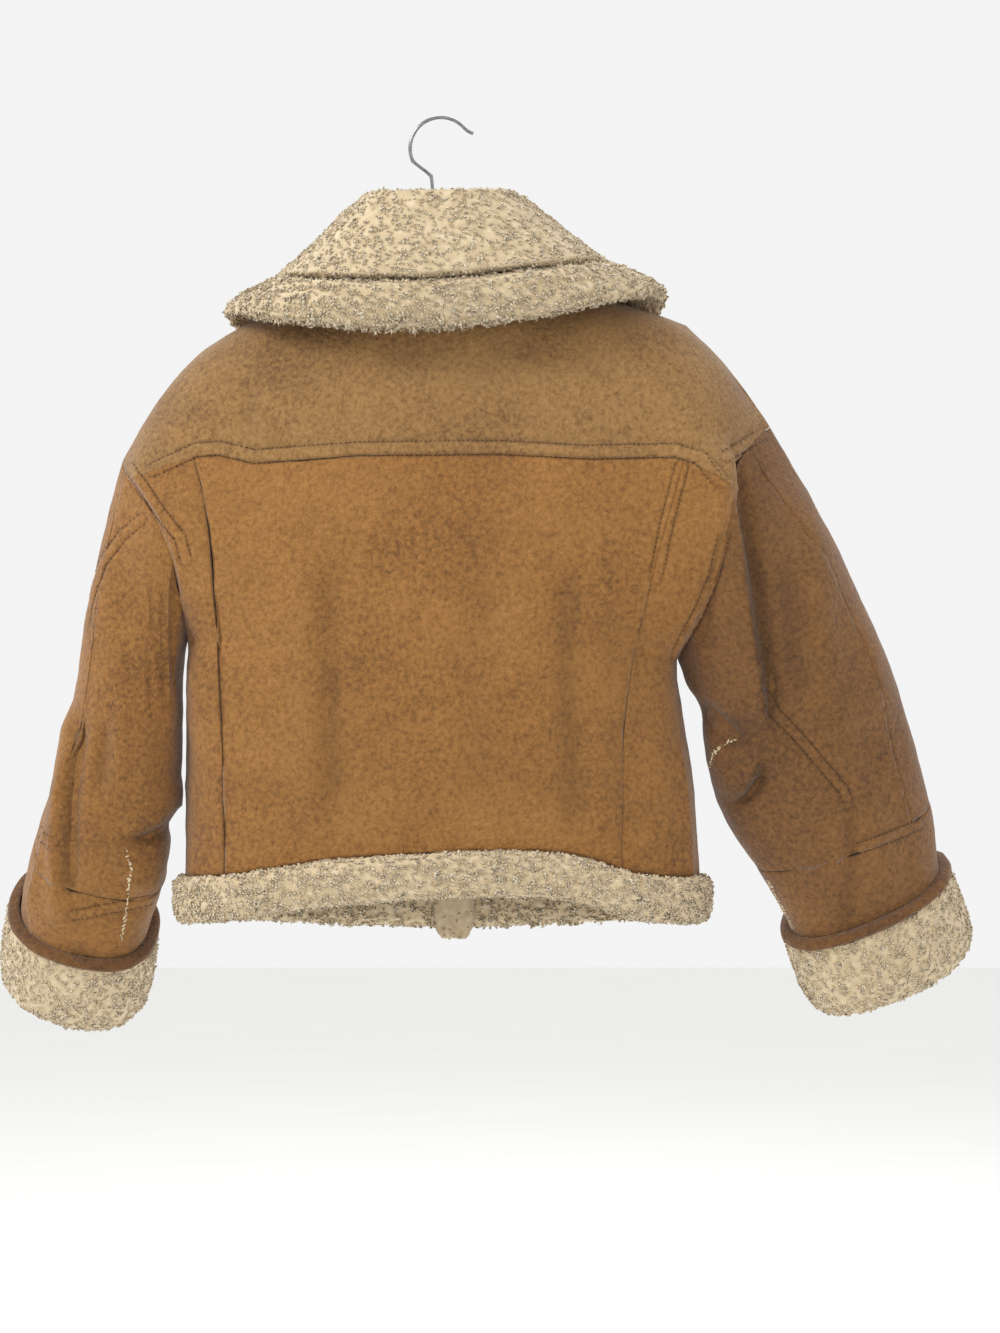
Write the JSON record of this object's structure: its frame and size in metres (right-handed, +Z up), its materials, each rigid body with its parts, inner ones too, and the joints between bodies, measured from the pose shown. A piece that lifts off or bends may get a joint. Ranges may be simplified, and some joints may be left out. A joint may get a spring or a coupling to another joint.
{
  "type": "sheepskin flying jacket on a hanger",
  "caption": "Cropped sheepskin flying jacket with a wide pile collar, drop shoulders, turned-back pile cuffs and a pile hem, hanging empty on a plain hanger.",
  "frame": {"origin": "top of the inside of the hook's crook, where the rail carries the hanger", "axes": "+Z up, +X to the wearer's right, +Y to the front of the jacket, so the back faces -Y"},
  "size_m": [0.9493, 0.2734, 0.875],
  "materials": {
    "suede_leather": "tan suede-finished sheepskin, worn darker in places",
    "sheepskin_pile": "cream curly sheepskin pile",
    "binding_leather": "darker leather binding",
    "hook_steel": "bright steel wire",
    "hanger_wood": "plain satin wood",
    "zip_tape": "dark brown woven tape",
    "zip_metal": "dull metal"
  },
  "bodies": {
    "root": {"back_yoke": "suede_leather", "back_panel": "suede_leather", "back_side_left": "suede_leather", "back_side_right": "suede_leather", "front_left": "suede_leather", "front_right": "suede_leather", "zip": "zip_tape", "zip_slider": "zip_metal", "zip_pull": "binding_leather", "wind_flap": "sheepskin_pile", "collar_body": "sheepskin_pile", "collar_edge": "sheepskin_pile", "hem_back": "sheepskin_pile", "hem_front_left": "sheepskin_pile", "hem_front_right": "sheepskin_pile", "hanger_bar": "hanger_wood", "hanger_hook": "hook_steel", "sleeve_top_left": "suede_leather", "sleeve_under_left": "suede_leather", "sleeve_lower_left": "suede_leather", "cuff_left": "sheepskin_pile", "cuff_binding_left": "binding_leather", "sleeve_top_right": "suede_leather", "sleeve_under_right": "suede_leather", "sleeve_lower_right": "suede_leather", "cuff_right": "sheepskin_pile", "cuff_binding_right": "binding_leather"}
  },
  "joints": []
}
